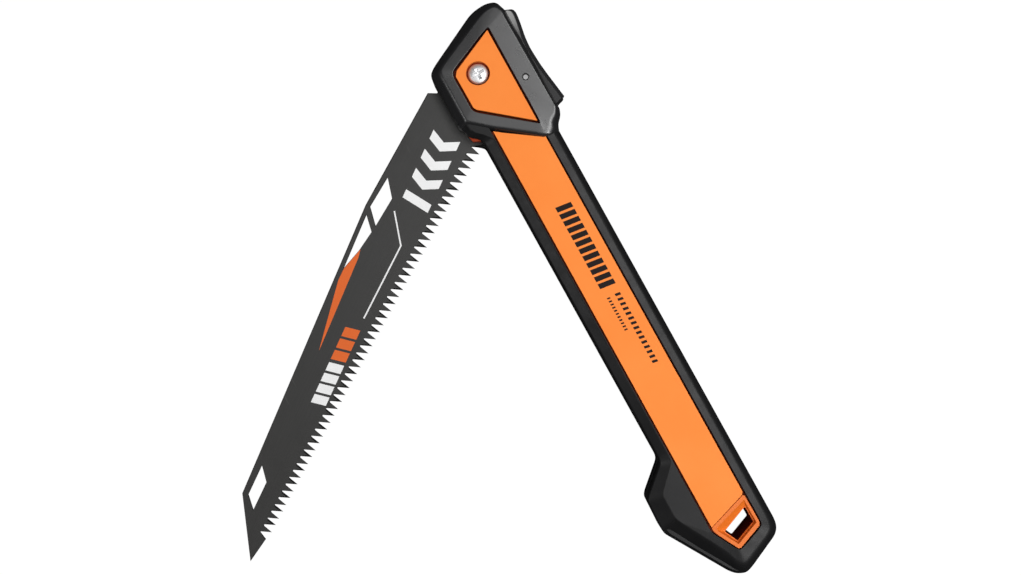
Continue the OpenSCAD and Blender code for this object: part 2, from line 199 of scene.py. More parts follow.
def shade_round(piece):
    """Smooth shading that leaves sharp edges sharp and flat faces flat."""
    crease = math.radians(38)
    piece.data.shade_smooth()
    piece.data.set_sharp_from_angle(angle=crease)
    even = piece.modifiers.new("even_shading", "WEIGHTED_NORMAL")
    even.keep_sharp = True


def circle(centre, radius, steps=32, start=0.0, sweep=360.0):
    """Points of an arc in plan, from `start` degrees through `sweep` degrees."""
    whole = abs(sweep) >= 360
    angle = np.radians(np.linspace(start, start + sweep, steps, endpoint=not whole))
    return np.stack([centre[0] + radius * np.cos(angle), centre[1] + radius * np.sin(angle)], 1)


def drill(piece, centre, radius, low, high):
    """A round hole along Z, cut from a piece's mesh between two heights in millimetres."""
    steps = 48
    ring = circle(centre, radius, steps)
    points = np.concatenate([np.column_stack([ring, np.full(steps, z)]) for z in (low, high)])
    sides = [tuple(int(v) for v in face[::-1]) for face in grid_faces(2, steps, False, True)]
    caps = [tuple(range(steps - 1, -1, -1)), tuple(range(steps, 2 * steps))]
    mesh = bpy.data.meshes.new("drill")
    mesh.from_pydata((points * mm).tolist(), [], sides + caps)
    tool = bpy.data.objects.new("drill", mesh)
    bpy.context.scene.collection.objects.link(tool)
    piece.modifiers.clear()
    cut = piece.modifiers.new("hole", "BOOLEAN")
    cut.object, cut.solver = tool, "EXACT"
    bpy.context.view_layer.update()
    solid = piece.evaluated_get(bpy.context.evaluated_depsgraph_get())
    piece.data = bpy.data.meshes.new_from_object(solid)
    piece.modifiers.clear()
    bpy.data.objects.remove(tool)
    shade_round(piece)


def shell(name, net, turns, profile_radius, corner_radius, material, mirrored, closed=True):
    """A moulded shell: a closed profile, net's first axis, carried around a loop, its second.

    Heights are measured from the handle's middle plane, and `mirrored` puts the shell on the
    rear half. `turns` are the steps of the rounding along the profile and along the loop.
    """
    net = np.asarray(net, float)
    soft = soften(net, profile_radius, turns[0])
    soft = soften(soft.swapaxes(0, 1), corner_radius, turns[1], closed).swapaxes(0, 1)
    soft[..., 2] = middle + (-soft[..., 2] if mirrored else soft[..., 2])
    rows, columns = soft.shape[:2]
    faces = [tuple(face) for face in grid_faces(rows, columns, True, closed)]
    if not closed:
        faces.append(tuple(range(0, rows * columns, columns)))
        faces.append(tuple(range(columns - 1, rows * columns, columns))[::-1])
    return new_piece(name, soft, faces, material, "handle")


def new_group(name, inputs, outputs):
    """An empty shader group with named sockets."""
    group = bpy.data.node_groups.new(name, "ShaderNodeTree")
    for label, value in inputs.items():
        socket = group.interface.new_socket(label, in_out="INPUT", socket_type="NodeSocketFloat")
        socket.default_value = value
    for label in outputs:
        group.interface.new_socket(label, in_out="OUTPUT", socket_type="NodeSocketFloat")
    return (group, group.nodes.new("NodeGroupInput"), group.nodes.new("NodeGroupOutput"))


def noise(group, place, scale, detail, rough=0.5):
    """A noise node on the given place, its scale a number or a socket."""
    node = group.nodes.new("ShaderNodeTexNoise")
    node.inputs["Detail"].default_value = detail
    node.inputs["Roughness"].default_value = rough
    group.links.new(place, node.inputs["Vector"])
    if isinstance(scale, (int, float)):
        node.inputs["Scale"].default_value = scale
    else:
        group.links.new(scale, node.inputs["Scale"])
    return node.outputs["Fac"]


def ramp(group, value, low, high, to_low=0.0, to_high=1.0):
    """A value taken from one range to another and kept within it."""
    node = group.nodes.new("ShaderNodeMapRange")
    node.inputs["From Min"].default_value = low
    node.inputs["From Max"].default_value = high
    node.inputs["To Min"].default_value = to_low
    node.inputs["To Max"].default_value = to_high
    group.links.new(value, node.inputs["Value"])
    return node.outputs["Result"]


def calculate(group, operation, first, second):
    """A math node; either side may be a number."""
    node = group.nodes.new("ShaderNodeMath")
    node.operation = operation
    for value, socket in zip((first, second), node.inputs):
        if isinstance(value, (int, float)):
            socket.default_value = value
        else:
            group.links.new(value, socket)
    return node.outputs["Value"]


# Mould grain: fine pits from the mould's spark erosion, slow clouds of tone and patches of
# polish where hands rub.
grain, grain_in, grain_out = new_group("mould_grain", {"Grain Scale": 2400.0, "Cloud Scale": 45.0},
                                       ("Height", "Cloud", "Polish"))
place = grain.nodes.new("ShaderNodeTexCoord").outputs["Object"]
pits = noise(grain, place, grain_in.outputs["Grain Scale"], 3, 0.6)
grain.links.new(pits, grain_out.inputs["Height"])
grain.links.new(ramp(grain, noise(grain, place, grain_in.outputs["Cloud Scale"], 4), 0.3, 0.7),
                grain_out.inputs["Cloud"])
grain.links.new(ramp(grain, noise(grain, place, 130, 5, 0.65), 0.35, 0.7),
                grain_out.inputs["Polish"])

# Scuffs: sparse short scratches, a stretched noise cut off near its top.
scuff, scuff_in, scuff_out = new_group("handling_scuffs", {"Amount": 0.5}, ("Mask",))
place = scuff.nodes.new("ShaderNodeTexCoord").outputs["Object"]
stretch = scuff.nodes.new("ShaderNodeMapping")
stretch.inputs["Rotation"].default_value = (0, 0, 0.6)
stretch.inputs["Scale"].default_value = (90, 1400, 700)
scuff.links.new(place, stretch.inputs["Vector"])
lines = ramp(scuff, noise(scuff, stretch.outputs["Vector"], 1.0, 2), 0.66, 0.74)
patches = ramp(scuff, noise(scuff, place, 38, 3), 0.5, 0.66)
scuff.links.new(calculate(scuff, "MULTIPLY", calculate(scuff, "MULTIPLY", lines, patches),
                          scuff_in.outputs["Amount"]), scuff_out.inputs["Mask"])


def use_group(tree, group, **values):
    """A group placed in a material with its own values; underscores stand for spaces."""
    node = tree.nodes.new("ShaderNodeGroup")
    node.node_tree = group
    for label, value in values.items():
        node.inputs[label.replace("_", " ")].default_value = value
    return node


def blend_colours(tree, share, first, second):
    """A mix of two colours by a share; either may be a socket."""
    node = tree.nodes.new("ShaderNodeMix")
    node.data_type = "RGBA"
    tree.links.new(share, node.inputs["Factor"])
    for value, socket in ((first, node.inputs["A"]), (second, node.inputs["B"])):
        if isinstance(value, tuple):
            socket.default_value = value + (1,)
        else:
            tree.links.new(value, socket)
    return node.outputs["Result"]


def moulded(name, deep, pale, worn, roughness, grain_scale, grain_depth, specular, scuffs):
    """A moulded plastic or rubber: two tones in clouds, worn lighter along scuffs, grained."""
    material = bpy.data.materials.new(name)
    material.use_nodes = True
    tree = material.node_tree
    shader = tree.nodes["Principled BSDF"]
    skin = use_group(tree, grain, Grain_Scale=grain_scale)
    rub = use_group(tree, scuff, Amount=scuffs)
    tone = blend_colours(tree, skin.outputs["Cloud"], deep, pale)
    tone = blend_colours(tree, rub.outputs["Mask"], tone, worn)
    tree.links.new(tone, shader.inputs["Base Color"])
    rough = ramp(tree, skin.outputs["Polish"], 0, 1, roughness[0], roughness[1])
    tree.links.new(rough, shader.inputs["Roughness"])
    shader.inputs["Specular IOR Level"].default_value = specular
    bump = tree.nodes.new("ShaderNodeBump")
    bump.inputs["Strength"].default_value = grain_depth
    bump.inputs["Distance"].default_value = 0.00006
    tree.links.new(skin.outputs["Height"], bump.inputs["Height"])
    tree.links.new(bump.outputs["Normal"], shader.inputs["Normal"])
    return material


black_plastic = moulded("black_plastic", (0.012, 0.012, 0.013), (0.016, 0.016, 0.017),
                        (0.045, 0.045, 0.047),
                        roughness=(0.26, 0.34), grain_scale=2600, grain_depth=0.25,
                        specular=0.95, scuffs=0.5)

spine = 17.7
head_top, head_bottom, head_front = 22.4, -18.2, -23.8
core_face = 5.2          # height of the core's flat body, which the covers rest on
skirt = 1.7              # thickness of the covers' edges
# Around the shield from the lever's front end: outline, ridge of the face, window edge, how low
# the skirt reaches and how high the ridge stands. The face runs down onto the grip's shoulder.
lever_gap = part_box("lock_lever")[1][2] / mm - middle + 0.3
slot_side = 1.6
crown = 0.7            # how far the face falls from its window to its ridge
shield_round = [
    ((-18.4, head_top + 0.9), (-18.3, 22.0), (-15.0, 13.1), lever_gap, half - crown),
    ((-23.6, 21.6), (-22.0, 20.2), (-14.0, 10.2), 0.0, half - crown),
    ((head_front - 1.3, 17.2), (-22.0, 15.6), (-13.0, 7.4), slot_side, half - crown),
    ((-24.6, 10.2), (-20.1, 10.6), (-11.2, 3.4), slot_side, half - crown),
    ((-12.1, -14.9), (-9.8, -12.6), (-6.8, -6.8), slot_side, half - crown),
    ((-9.9, -17.7), (-8.3, -14.0), (-5.7, -8.8), slot_side, half - crown),
    ((-6.6, head_bottom - 0.1), (-6.4, -14.4), (-3.6, -9.8), slot_side, half - crown),
    ((17.0, head_bottom - 0.1), (15.4, -14.4), (12.1, -9.7), slot_side, half - crown),
    ((18.4, -13.6), (16.8, -13.0), (13.9, -8.7), core_face - 1, half - crown),
    ((23.7, -6.8), (22.0, -7.0), (18.1, -3.5), core_face - 1, half - crown),
    ((37.4, 10.8), (35.6, 10.6), (31.4, 13.1), core_face - 1, half - 0.4),
    ((39.6, 14.6), (36.8, 14.2), (28.5, 13.1), core_face - 1, half - 0.5),
    ((38.4, spine + 0.5), (35.4, 16.6), (25.0, 13.1), core_face - 1, half - 0.5),
    ((34.6, 19.6), (32.6, 18.3), (22.0, 13.1), 1.0, half - 0.55),
    ((32.0, 22.2), (30.8, 20.7), (20.0, 13.1), 0.0, half - crown),
    ((29.2, 23.4), (28.5, 22.1), (12.0, 13.1), 0.0, half - crown),
    ((27.5, 23.2), (27.2, 22.0), (6.0, 13.1), lever_gap, half - crown)]


def toward(point, centre, by):
    """A plan point moved `by` millimetres towards a centre."""
    gap = np.subtract(centre, point)
    return tuple(np.asarray(point) + gap / np.linalg.norm(gap) * by)


head_centre = (2, 2)
pin_at = (joints["lever_press"]["pos_m"][0] / mm, joints["lever_press"]["pos_m"][1] / mm)
pin_r = 1.1
chamfer_fall, least_edge = 3.5, 0.6     # how far the chamfer falls, and what it leaves upright
shield_net = np.array([
    [(*toward(o, head_centre, skirt), low), (*o, low),
     (*o, max(ridge - chamfer_fall, low + least_edge)),
     (*r, ridge), (*w, half), (*w, core_face), (*toward(o, head_centre, skirt), core_face)]
    for o, r, w, low, ridge in shield_round]).swapaxes(0, 1)
# Roundings along the profile at each station; the ridge is softer where it meets the grip.
ridge_row = 3
shield_profile = np.repeat(np.array([(0.1, 0.5, 1.5, 1.3, 0.45, 0.1, 0.1)]).T,
                           len(shield_round), 1)
shield_profile[ridge_row, 10:14] = (2.0, 3.0, 3.0, 2.2)
shield_corner = (1.0, 1.8, 2.4, 4, 3.0, 2.4, 1.6, 1.0, 1.6, 2.0, 2.0, 2.0, 2.4, 2.6, 2.2, 1.4, 0.4)
rounding_steps = (7, 7)
pin_hole_r, pin_hole_depth = pin_r + 0.45, 3
for side, mirrored in (("front", False), ("rear", True)):
    piece = shell(side + "_head_shield", shield_net, rounding_steps, shield_profile,
                  shield_corner, black_plastic, mirrored)
    outer = -half if mirrored else half
    inner = outer - math.copysign(pin_hole_depth, outer)
    past = outer + math.copysign(1, outer)
    drill(piece, pin_at, pin_hole_r, middle + min(inner, past), middle + max(inner, past))
    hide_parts(side + "_shield")


# The grip covers: soft black rubber moulded over each core half, from under the shield along the
# spine, round the butt and the pommel, and back along the belly to the rounded corner at the
# head. The finger side is a plain chamfer, the spine has a rounded shoulder.
black_rubber = moulded("black_rubber", (0.009, 0.009, 0.0095), (0.013, 0.013, 0.0135),
                       (0.03, 0.03, 0.031),
                       roughness=(0.30, 0.40), grain_scale=1900, grain_depth=0.3,
                       specular=0.18, scuffs=0.35)
grip_face = half - 1.5
belly = -12.05
pommel = butt - 59.4
pommel_low = -24.8
window_top, window_bottom = 12.75, -7.0
# From the spine side of the shield round to its belly side: outline, shoulder, window edge,
# height of the outline's upper edge and of the shoulder.
grip_round = [
    ((29.0, spine + 0.9), (29.0, 16.7), (29.0, window_top), 6.4, 9.0),
    ((butt - 10.6, spine + 1.0), (butt - 12.4, 16.7), (butt - 15.0, window_top + 0.1), 6.4, 8.8),
    ((butt - 6.4, 16.4), (butt - 8.6, 15.0), (butt - 13.3, window_top - 0.8), 5.6, 8.5),
    ((butt + 1.3, 0.3), (butt - 1.8, 0.2), (butt - 9.0, 0.4), 5.4, 8.3),
    ((butt + 2.4, -2.9), (butt - 1.5, -2.6), (butt - 9.2, -1.2), 4.6, 8.3),
    ((butt + 1.1, -6.6), (butt - 4.2, -5.0), (butt - 12.6, -3.1), 3.0, 8.6),
    ((butt - 1.4, -8.9), (butt - 7.6, -5.8), (butt - 15.6, -4.7), 2.4, 8.9),
    ((butt - 28.5, -25.1), (butt - 32.6, -17.9), (butt - 21.1, -7.6), 2.6, grip_face),
    ((butt - 32.0, pommel_low - 0.7), (butt - 33.8, -18.1), (butt - 33, -7.4), 7.1, grip_face),
    ((butt - 45.5, pommel_low - 0.1), (butt - 44.5, -18.1), (butt - 43, -7.4), 7.6, grip_face),
    ((butt - 47.3, -23.5), (butt - 46.3, -17.1), (butt - 47, -7.4), 7.4, grip_face),
    ((pommel + 2.7, -12.8), (pommel + 4.4, -8.0), (pommel + 2, -7.3), 7.6, grip_face),
    ((pommel + 0.8, belly), (pommel - 0.2, -7.9), (pommel - 1.5, -7.3), 7.5, 9.45),
    ((27.6, belly), (27.2, -7.6), (27.0, window_bottom), 7.5, 9.45),
    ((25.2, -13.4), (23.6, -10.4), (24.6, window_bottom), 7.2, grip_face),
    ((23.0, -16.9), (21.0, -13.2), (22.0, -7.0), 7.2, grip_face),
    ((20.0, head_bottom), (18.6, -14.5), (17.5, -7.8), 7.2, grip_face),
    ((14.0, head_bottom), (14.0, -14.5), (12.5, -9.2), 7.2, grip_face)]
# At its head corner the front cover stops short and shows the core's rounded edge, and the rear
# cover spreads a little further.
tucked = {14: (24.2, -12.5), 15: (22.1, -15.5), 16: (19.8, -16.9)}
spread = {14: (25.6, -14.2), 15: (22.8, -18.3), 16: (18.8, -19.4)}


def along_handle(point):
    """The plan point on the handle's long middle line that is nearest."""
    return (min(max(point[0], 24), butt - 14), -2.5)


# The halves meet along the spine and the butt; the blade's slot keeps them apart elsewhere. The
# shoulder is rounded softly there and stays crisp along the belly.
shut = 6
grip_low = [0.0] * shut + [slot_side] * (len(grip_round) - shut)
grip_profile = np.repeat(np.array([(0.1, 0.6, 1.0, 0.35, 0.25, 0.1, 0.1)]).T,
                         len(grip_round), 1)
grip_profile[ridge_row, :8] = (1.6, 1.6, 1.8, 2.4, 2.4, 3.0, 3.2, 1.6)
grip_corner = (1, 4, 3, 3, 2.6, 2.6, 2.2, 1.6, 1.4, 1.4, 1.6, 2.0, 1.6, 1.2, 2.0, 2.6, 2.0, 1)
for side, mirrored in (("front", False), ("rear", True)):
    columns = []
    for number, (o, s, w, edge, shoulder) in enumerate(grip_round):
        low, lip = grip_low[number], core_face
        if number in tucked and not mirrored:
            o, low, lip = tucked[number], core_face + 0.05, core_face + 0.3
        if number in spread and mirrored:
            o = spread[number]
        inner = toward(o, along_handle(o), skirt)
        columns.append([(*inner, low), (*o, low), (*o, max(edge, low + 0.5)), (*s, shoulder),
                        (*w, grip_face), (*w, lip), (*inner, lip)])
    piece = shell(side + "_grip_cover", np.array(columns).swapaxes(0, 1), rounding_steps,
                  grip_profile, grip_corner, black_rubber, mirrored, closed=False)
    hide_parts(side + "_grip")


# The orange core halves and the eyelet halves around the lanyard slot: glossy hard plastic,
# clamped together by the case screws. The raised windows stand in the covers' openings.
orange_plastic = moulded("orange_plastic", (0.98, 0.262, 0.046), (1.0, 0.282, 0.054),
                         (1.0, 0.34, 0.08),
                         roughness=(0.36, 0.46), grain_scale=1500, grain_depth=0.1,
                         specular=0.08, scuffs=0.2)


def off_middle(tree, place):
    """Distance of a separated place from the handle's middle plane."""
    off = calculate(tree, "SUBTRACT", place.outputs["Z"], middle * mm)
    return calculate(tree, "ABSOLUTE", off, 0.0)


def split_place(tree):
    """The Object coordinates, separated."""
    place = tree.nodes.new("ShaderNodeTexCoord").outputs["Object"]
    split = tree.nodes.new("ShaderNodeSeparateXYZ")
    tree.links.new(place, split.inputs["Vector"])
    return split


def shadowed(material, deep, from_height, to_height):
    """Paints shade into a material's colour away from its outer face.

    The share runs from 0 at `from_height` over the handle's middle plane to 1 at `to_height`.
    """
    tree = material.node_tree
    shader = tree.nodes["Principled BSDF"]
    tone = shader.inputs["Base Color"].links[0].from_socket
    depth = off_middle(tree, split_place(tree))
    share = ramp(tree, depth, from_height * mm, to_height * mm)
    tree.links.new(blend_colours(tree, share, tone, deep), shader.inputs["Base Color"])


# Painted shade: the core turns deep red below its outer face, in its screw recesses and along its
# windows' sides.
shadowed(orange_plastic, (0.34, 0.045, 0.014), 8.9, 7.9)
# The eyelets' orange is set darker than the core's: painted shade over their sunken tray.
eyelet_orange = moulded("eyelet_orange", (0.78, 0.165, 0.016), (0.84, 0.185, 0.022),
                        (1.0, 0.36, 0.10),
                        roughness=(0.34, 0.44), grain_scale=1500, grain_depth=0.1,
                        specular=0.2, scuffs=0.25)
# Painted shade: deep inside the lanyard slot the eyelets turn almost black.
shadowed(eyelet_orange, (0.10, 0.004, 0.002), 6.9, 5.6)


def machined(name, material, edge):
    """A carried-over node with softened edges: its faces are welded, merged and bevelled."""
    weld_gap, flat_within, sharp = 0.00001, math.radians(0.5), math.radians(30)
    node = nodes[name]
    node.data.materials.clear()
    node.data.materials.append(material)
    weld = node.modifiers.new("weld", "WELD")
    weld.merge_threshold = weld_gap
    flat = node.modifiers.new("merge_flats", "DECIMATE")
    flat.decimate_type = "DISSOLVE"
    flat.angle_limit = flat_within
    bevel = node.modifiers.new("soft_edges", "BEVEL")
    bevel.width = edge * mm
    bevel.segments = 2
    bevel.limit_method = "ANGLE"
    bevel.angle_limit = sharp
    bevel.harden_normals = False
    even = node.modifiers.new("even_shading", "WEIGHTED_NORMAL")
    even.keep_sharp = True
    node.data.shade_smooth()


for name in ("front_core", "rear_core"):
    machined(name, orange_plastic, 0.4)
for name in ("front_eyelet", "rear_eyelet"):
    machined(name, eyelet_orange, 0.2)


# The lock lever: a ribbed thumb plate of black plastic on a thin web that runs in the slot and
# pivots on the lever pin. The plate's rim is a saddle for the thumb; the web carries the tooth.
def flat_polygon(loops):
    """Triangles that fill an outline and leave its holes, as indices into the joined loops."""
    return tessellate_polygon([[Vector((x, y, 0)) for x, y in loop] for loop in loops])


def turned_corners(loop):
    """Twice the signed area of a loop, positive when it runs anticlockwise."""
    ahead = np.roll(loop, -1, 0)
    return float((loop[:, 0] * ahead[:, 1] - loop[:, 1] * ahead[:, 0]).sum())


def inset(loop, widths):
    """A loop whose edges move inwards by their widths.

    Each corner p solves n.p = n.corner + width for the inward normals n of its two edges; where
    the edges are almost in line it moves along their mean normal.
    """
    edge = np.roll(loop, -1, 0) - loop
    normal = np.stack([-edge[:, 1], edge[:, 0]], 1) / np.linalg.norm(edge, axis=1)[:, None]
    before, reach = np.roll(normal, 1, 0), np.roll(widths, 1)
    cross = before[:, 0] * normal[:, 1] - before[:, 1] * normal[:, 0]
    bent = np.abs(cross) > 0.05
    safe = np.where(bent, cross, 1.0)
    moved = np.stack([(reach * normal[:, 1] - widths * before[:, 1]) / safe,
                      (widths * before[:, 0] - reach * normal[:, 0]) / safe], 1)
    return loop + np.where(bent[:, None], moved, (before + normal) * (reach + widths)[:, None] / 4)


def turned(plan, angle):
    """Plan points turned about the pivot by `angle` degrees."""
    c, d = math.cos(math.radians(angle)), math.sin(math.radians(angle))
    return plan @ np.array([[c, d], [-d, c]])


def cut_plate(name, loops, low, high, edge, material, body, angle=0.0):
    """A plate cut to an outline and its holes, its edges broken by a bevel of width `edge`.

    The first loop is the outline; the part lies between two heights in millimetres, turned
    about the pivot by `angle` degrees.
    """
    loops = [np.asarray(loop, float) for loop in loops]
    loops = [loop if (turned_corners(loop) > 0) == (i == 0) else loop[::-1]
             for i, loop in enumerate(loops)]
    small = [inset(loop, np.full(len(loop), edge)) for loop in loops]
    layers = [(small, high), (loops, high - edge), (loops, low + edge), (small, low)]
    points = np.concatenate([np.column_stack([np.concatenate(rings), np.full(
        sum(len(ring) for ring in rings), height)]) for rings, height in layers])
    count = len(points) // 4
    cap = np.array(flat_polygon(small))
    top, bottom = cap, cap[:, ::-1] + 3 * count
    walls = [tuple(face) for face in np.concatenate([top, bottom])]
    start = 0
    for loop in loops:
        i = start + np.arange(len(loop))
        k = start + (np.arange(len(loop)) + 1) % len(loop)
        for level in (0, 1, 2):
            a, b = level * count, (level + 1) * count
            walls += [tuple(face) for face in np.stack([i + a, i + b, k + b, k + a], 1)]
        start += len(loop)
    points[:, :2] = turned(points[:, :2], angle)
    return new_piece(name, points, walls, material, body, smooth=False)


def tube_faces(rows, columns):
    """A grid's faces closed around each row, with its first and last rows as end caps."""
    caps = [tuple(range(columns)), tuple(range((rows - 1) * columns, rows * columns))[::-1]]
    return [tuple(face) for face in grid_faces(rows, columns, False, True)] + caps


lever_plastic = moulded("lever_plastic", (0.016, 0.016, 0.017), (0.022, 0.022, 0.023),
                        (0.05, 0.05, 0.052),
                        roughness=(0.24, 0.32), grain_scale=2600, grain_depth=0.2,
                        specular=0.28, scuffs=0.5)
lever_low = pin_at[1] + 2.8
lever_half = lever_gap - 0.3
# The plate's side is painted pale towards its front end: a painted highlight.
tree = lever_plastic.node_tree
shader = tree.nodes["Principled BSDF"]
place = split_place(tree)
at_side = ramp(tree, off_middle(tree, place), (lever_half - 0.3) * mm, (lever_half - 0.02) * mm)
painted_highlight = calculate(tree, "MULTIPLY", ramp(tree, place.outputs["X"], -1 * mm, -17 * mm), at_side)
tone = shader.inputs["Base Color"].links[0].from_socket
tree.links.new(blend_colours(tree, painted_highlight, tone, (0.34, 0.34, 0.335)),
               shader.inputs["Base Color"])
lever_ridge = np.array([(-18.9, 23.0), (-18.6, 25.2), (-17.7, 26.6), (-15.8, 27.2), (-11, 26.6),
                        (-5, 25.5), (0, 25.1), (8, 25.5), (14, 26.2), (20, 27.1), (25.4, 27.9),
                        (26.0, 26.6), (26.6, 24.0)])
x = np.concatenate([np.linspace(-18.9, -15.8, 16), np.linspace(-15.4, 19.9, 64),
                    np.linspace(20.0, 25.3, 60), np.linspace(25.4, 26.6, 10)])
rise = np.interp(x, lever_ridge[:, 0], lever_ridge[:, 1])
rise = np.convolve(np.pad(rise, 3, mode="edge"), np.full(7, 1 / 7), "valid")
# Fine ribs for the thumb near the tail, and a slight waist: it narrows the plate by its depth
# times exp(-(distance / length)^2).
ribs_from, ribs_to, rib_pitch, rib_depth = 20.4, 25.0, 0.9, 0.1
thumb = np.clip((x - ribs_from) / 0.6, 0, 1) * np.clip((ribs_to - x) / 0.4, 0, 1)
rise = rise - rib_depth * thumb * (0.5 - 0.5 * np.cos(2 * np.pi * (x - ribs_from) / rib_pitch))
waist_depth, waist_length, waist_at = 0.35, 9, 2
waist = waist_depth * np.exp(-((x - waist_at) / waist_length) ** 2)
# Across the plate: share of its half width, and how far under the ridge each point lies.
across = np.array([(1.0, -1.0), (1.0, 1.9), (0.98, 1.65), (0.945, 1.35), (0.88, 0.75),
                   (0.84, 0.4), (0.79, 0.1), (0.73, 0.0), (0.6, 0.1), (0.4, 0.35), (0.2, 0.46)])
share = np.concatenate([across[:, 0], [0.0], -across[::-1, 0]])
under = np.concatenate([across[:, 1], [0.7], across[::-1, 1]])
wide = (lever_half - waist)[:, None] * share[None]
tall = np.where(under[None] < 0, lever_low, rise[:, None] - under[None])
tall = np.maximum(tall, lever_low)
lever_net = np.stack([np.repeat(x[:, None], len(share), 1), tall, middle + wide], 2)
thumb_plate = new_piece("thumb_plate", lever_net, tube_faces(*lever_net.shape[:2]),
                        lever_plastic, "lever")
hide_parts("lock_lever")

web_half = slot_side - 0.15
web_top = lever_low + 0.9
tooth_left, tooth_right, tooth_top = -10.2, -6.2, lever_low - 0.6
boss = circle(pin_at, 3.2, 20, -90, 90)
web_outline = np.concatenate([
    [(tooth_left - 0.8, web_top), (tooth_left - 0.8, 17.6), (tooth_left, 17.3),
     (tooth_left, tooth_top), (tooth_right, tooth_top), (tooth_right, 15.7), (-5.0, 15.3),
     (7.0, 15.4)], boss, [(pin_at[0] + 3.2, web_top)]])
lever_web = cut_plate("lever_web", [web_outline, circle(pin_at, pin_r + 0.05, 28)],
                      middle - web_half, middle + web_half, 0.12, lever_plastic, "lever")
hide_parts("lock_lever")


# The blade: one stamped plate with a dark coating, three windows and a row of teeth. Every
# tooth is ground on one face only, the first and every second one after it on the front, so
# the points cut in two tracks. It turns on the bush.
def outlines(node, height, angle):
    """The loops that bound a node's flat face at a height, longest first, turned by an angle.

    A face's boundary edges are those that only one of its triangles uses; each loop follows
    them from corner to corner, and corners in line with their neighbours are dropped.
    """
    on_face, in_line = 0.01, 0.004       # millimetres, and the sine of the least bend kept
    mesh = node.data
    spots = np.empty(len(mesh.vertices) * 3)
    mesh.vertices.foreach_get("co", spots)
    spots = spots.reshape(-1, 3) / mm
    spots, same = np.unique(np.round(spots, 3), axis=0, return_inverse=True)
    corners = np.empty(len(mesh.loops), int)
    mesh.loops.foreach_get("vertex_index", corners)
    faces = same.ravel()[corners].reshape(-1, 3)
    faces = faces[np.all(np.abs(spots[faces][:, :, 2] - height) < on_face, axis=1)]
    edges = np.concatenate([faces[:, [0, 1]], faces[:, [1, 2]], faces[:, [2, 0]]])
    paired = {tuple(edge) for edge in edges.tolist()}
    follow = {a: b for a, b in paired if (b, a) not in paired}
    loops = []
    while follow:
        first, step = next(iter(follow.items()))
        loop = [first]
        while step != first:
            loop.append(step)
            step = follow.pop(step)
        follow.pop(first, None)
        flat = spots[loop][:, :2]
        bend_in, bend_out = flat - np.roll(flat, 1, 0), np.roll(flat, -1, 0) - flat
        cross = bend_in[:, 0] * bend_out[:, 1] - bend_in[:, 1] * bend_out[:, 0]
        size = np.linalg.norm(bend_in, axis=1) * np.linalg.norm(bend_out, axis=1)
        loops.append(flat[np.abs(cross) > in_line * size])
    loops = [turned(loop, angle) for loop in loops]
    return sorted(loops, key=lambda loop: -np.abs(turned_corners(loop)))


def coated(name, deep, pale, bare, roughness):
    """A coated or ground plate: tone brushed along the blade, worn to bare steel in scuffs."""
    material = bpy.data.materials.new(name)
    material.use_nodes = True
    tree = material.node_tree
    shader = tree.nodes["Principled BSDF"]
    place = tree.nodes.new("ShaderNodeTexCoord").outputs["Object"]
    along = tree.nodes.new("ShaderNodeMapping")
    along.inputs["Rotation"].default_value = (0, 0, math.radians(-rest_angle))
    tree.links.new(place, along.inputs["Vector"])
    thin = tree.nodes.new("ShaderNodeMapping")
    thin.inputs["Scale"].default_value = (60, 2600, 1)
    tree.links.new(along.outputs["Vector"], thin.inputs["Vector"])
    brush = noise(tree, thin.outputs["Vector"], 1.0, 4, 0.6)
    skin = use_group(tree, grain, Grain_Scale=3200)
    rub = use_group(tree, scuff, Amount=0.35)
    tone = blend_colours(tree, ramp(tree, brush, 0.3, 0.7), deep, pale)
    tree.links.new(blend_colours(tree, rub.outputs["Mask"], tone, bare),
                   shader.inputs["Base Color"])
    tree.links.new(ramp(tree, skin.outputs["Polish"], 0, 1, *roughness),
                   shader.inputs["Roughness"])
    relief = calculate(tree, "ADD", calculate(tree, "MULTIPLY", brush, 0.5),
                       skin.outputs["Height"])
    bump = tree.nodes.new("ShaderNodeBump")
    bump.inputs["Strength"].default_value = 0.18
    bump.inputs["Distance"].default_value = 0.00003
    tree.links.new(relief, bump.inputs["Height"])
    tree.links.new(bump.outputs["Normal"], shader.inputs["Normal"])
    return material


rest_angle = -53.65
blade_half = 0.6
blade_coat = coated("blade_coat", (0.017, 0.0165, 0.0156), (0.023, 0.0223, 0.0211),
                    (0.11, 0.11, 0.105), (0.42, 0.52))
# The ground faces get a colour darker than the coat: a painted dark reflection of their bare
# steel.
ground_steel = coated("ground_steel", (0.012, 0.012, 0.0115), (0.018, 0.0177, 0.017),
                      (0.10, 0.10, 0.098), (0.3, 0.4))
blade_loops = outlines(nodes["blade"], middle + blade_half, -rest_angle)
rings = [loop if (turned_corners(loop) > 0) == (i == 0) else loop[::-1]
         for i, loop in enumerate(blade_loops)]


def tooth_points(ring):
    """Indices of the teeth's points, from the heel to the tip: the sharp corners in front.

    A corner is sharp when the cosine of its angle is over `sharp`.
    """
    sharp, heel = 0.8, 28
    ahead, behind = np.roll(ring, -1, 0) - ring, np.roll(ring, 1, 0) - ring
    sharpness = (ahead * behind).sum(1) / (np.linalg.norm(ahead, axis=1)
                                           * np.linalg.norm(behind, axis=1))
    found = np.flatnonzero((sharpness > sharp) & (ring[:, 1] > 0) & (ring[:, 0] > heel))
    return found[np.argsort(ring[found, 0])]


